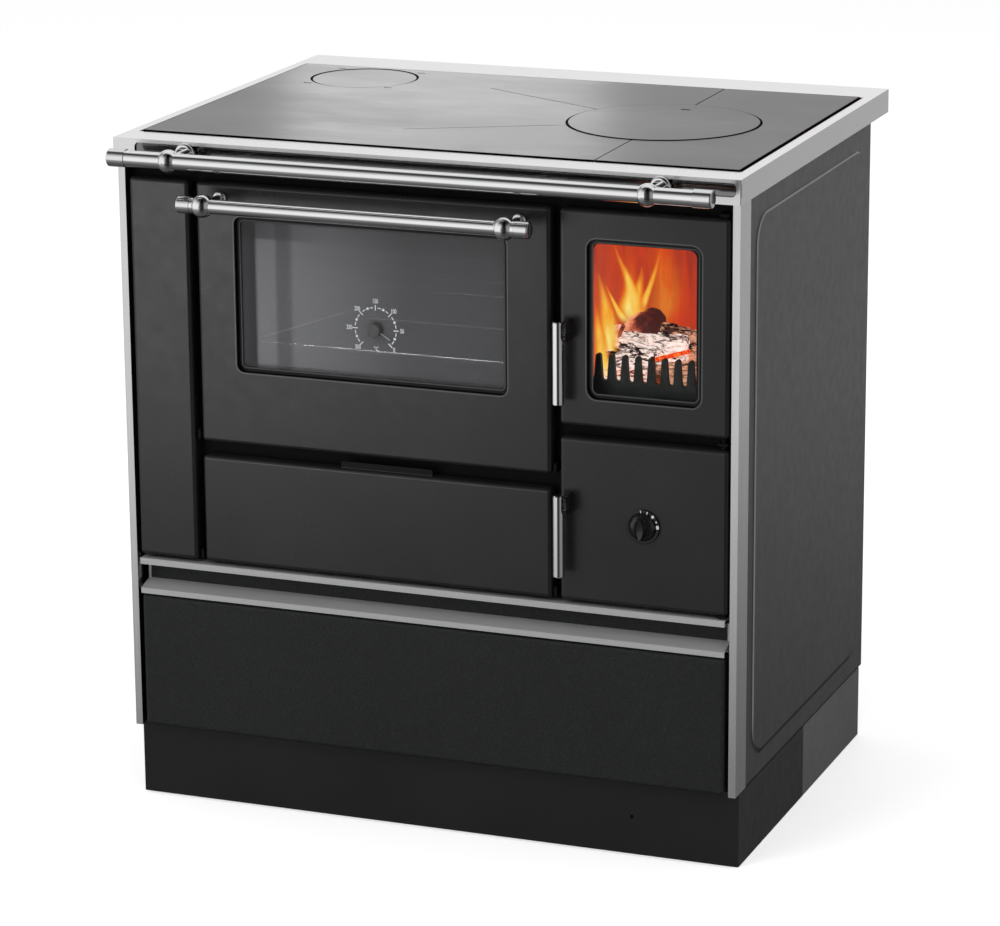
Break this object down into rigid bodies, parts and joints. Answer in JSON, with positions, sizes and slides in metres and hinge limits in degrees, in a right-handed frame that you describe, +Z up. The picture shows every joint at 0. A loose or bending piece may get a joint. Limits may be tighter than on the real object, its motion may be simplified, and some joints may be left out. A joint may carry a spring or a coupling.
{
  "type": "wood cookstove",
  "caption": "Wood-fired kitchen range with firebox, glazed oven, warming compartment, wood drawer, steel hob with ring lid and a front guard rail.",
  "frame": {"origin": "bottom centre of the whole range, on the floor", "axes": "+X to the viewer's right, +Y to the back, +Z up; the doors face -Y"},
  "size_m": [0.8, 0.681, 0.8523],
  "materials": {
    "stainless": "satin stainless steel",
    "hob_steel": "ground steel hob surface",
    "bright_chrome": "polished chrome",
    "door_enamel": "charcoal enamel, satin",
    "filler_enamel": "dark grey enamel, satin",
    "drawer_paint": "matte black powder coat",
    "side_enamel": "grey enamel, satin",
    "plinth_paint": "dark grey paint, satin",
    "black_steel": "black heat-proof paint",
    "oven_enamel": "grey vitreous enamel",
    "clear_glass": "clear",
    "rope": "black fibre rope",
    "black_knob": "black, glossy",
    "pointer_white": "white",
    "grip_aluminium": "satin anodised",
    "zinc_sheet": "galvanised sheet",
    "rack_wire": "chromed wire",
    "iron": "raw cast iron",
    "fireclay": null
  },
  "bodies": {
    "range_body": {"plinth_front": "plinth_paint", "plinth_rear": "plinth_paint", "levelling_feet": "black_steel", "base_plate": "black_steel", "side_panel_left": "side_enamel", "side_panel_right": "side_enamel", "back_panel": "black_steel", "corner_post_left": "stainless", "corner_post_right": "stainless", "front_plate": "black_steel", "left_filler_panel": "filler_enamel", "hinge_pins": "zinc_sheet", "hob_frame": "stainless", "hob_plate": "hob_steel", "flue_blanking_plate": "hob_steel", "guard_rail": "bright_chrome", "rail_posts": "bright_chrome", "rail_end_caps": "bright_chrome", "oven_box": "oven_enamel", "oven_rack": "rack_wire", "warming_box": "oven_enamel", "firebox_shell": "black_steel", "firebricks": "fireclay", "grate": "iron", "fire_guard": "iron", "ash_pan": "zinc_sheet", "drawer_runners": "zinc_sheet", "flue_spigot": "black_steel"},
    "ring_lid": {"ring_lid": "hob_steel"},
    "oven_door": {"oven_door_panel": "door_enamel", "oven_door_inner": "black_steel", "oven_glass": "clear_glass", "oven_inner_screen": "black_steel", "oven_inner_glass": "clear_glass", "oven_door_seal": "rope", "oven_handle_rod": "bright_chrome", "oven_handle_posts": "bright_chrome", "oven_handle_caps": "bright_chrome", "thermometer_hub": "bright_chrome"},
    "pointer": {"thermometer_pointer": "pointer_white"},
    "lower_flap": {"lower_flap_panel": "door_enamel"},
    "fire_door": {"fire_door_panel": "door_enamel", "fire_door_inner": "black_steel", "fire_glass": "clear_glass", "fire_glass_retainer": "black_steel", "fire_door_seal": "rope", "fire_latch_bracket": "door_enamel"},
    "fire_latch": {"fire_latch_rod": "bright_chrome"},
    "ash_door": {"ash_door_panel": "door_enamel", "ash_door_inner": "black_steel", "ash_door_seal": "rope", "ash_latch_bracket": "door_enamel", "air_knob_bezel": "black_steel"},
    "ash_latch": {"ash_latch_rod": "bright_chrome"},
    "air_control": {"air_knob": "black_knob", "air_disc": "black_steel"},
    "wood_drawer": {"drawer_front": "drawer_paint", "drawer_box": "zinc_sheet", "drawer_grip": "grip_aluminium"},
    "damper": {"startup_damper": "zinc_sheet"}
  },
  "joints": [
    {"name": "oven_door_hinge", "type": "hinge", "parent": "range_body", "child": "oven_door", "pos_m": [-0.0645, -0.2665, 0.484], "axis": [1, 0, 0], "range_deg": [0, 90]},
    {"name": "lower_flap_hinge", "type": "hinge", "parent": "range_body", "child": "lower_flap", "pos_m": [-0.0645, -0.2665, 0.33], "axis": [1, 0, 0], "range_deg": [0, 90]},
    {"name": "fire_door_hinge", "type": "hinge", "parent": "range_body", "child": "fire_door", "pos_m": [0.378, -0.2665, 0.67], "axis": [0, 0, 1], "range_deg": [0, 100]},
    {"name": "ash_door_hinge", "type": "hinge", "parent": "range_body", "child": "ash_door", "pos_m": [0.378, -0.2665, 0.42325], "axis": [0, 0, 1], "range_deg": [0, 100]},
    {"name": "fire_latch_pivot", "type": "hinge", "parent": "fire_door", "child": "fire_latch", "pos_m": [0.1805, -0.2925, 0.6575], "axis": [-1, 0, 0], "range_deg": [0, 35]},
    {"name": "ash_latch_pivot", "type": "hinge", "parent": "ash_door", "child": "ash_latch", "pos_m": [0.1805, -0.2925, 0.4455], "axis": [-1, 0, 0], "range_deg": [0, 35]},
    {"name": "air_knob_turn", "type": "hinge", "parent": "ash_door", "child": "air_control", "pos_m": [0.28075, -0.2745, 0.42325], "axis": [0, 1, 0], "range_deg": [0, 90]},
    {"name": "pointer_turn", "type": "hinge", "parent": "oven_door", "child": "pointer", "pos_m": [-0.06275, -0.2675, 0.634], "axis": [0, -1, 0], "range_deg": [-12, 258], "stiffness_Nm_per_rad": 0.001},
    {"name": "drawer_slide", "type": "slide", "parent": "range_body", "child": "wood_drawer", "axis": [0, -1, 0], "range_m": [0, 0.4]},
    {"name": "damper_slide", "type": "slide", "parent": "range_body", "child": "damper", "axis": [0, -1, 0], "range_m": [0, 0.06]},
    {"name": "ring_lid_lift", "type": "slide", "parent": "range_body", "child": "ring_lid", "axis": [0, 0, 1], "range_m": [0, 0.06]}
  ]
}
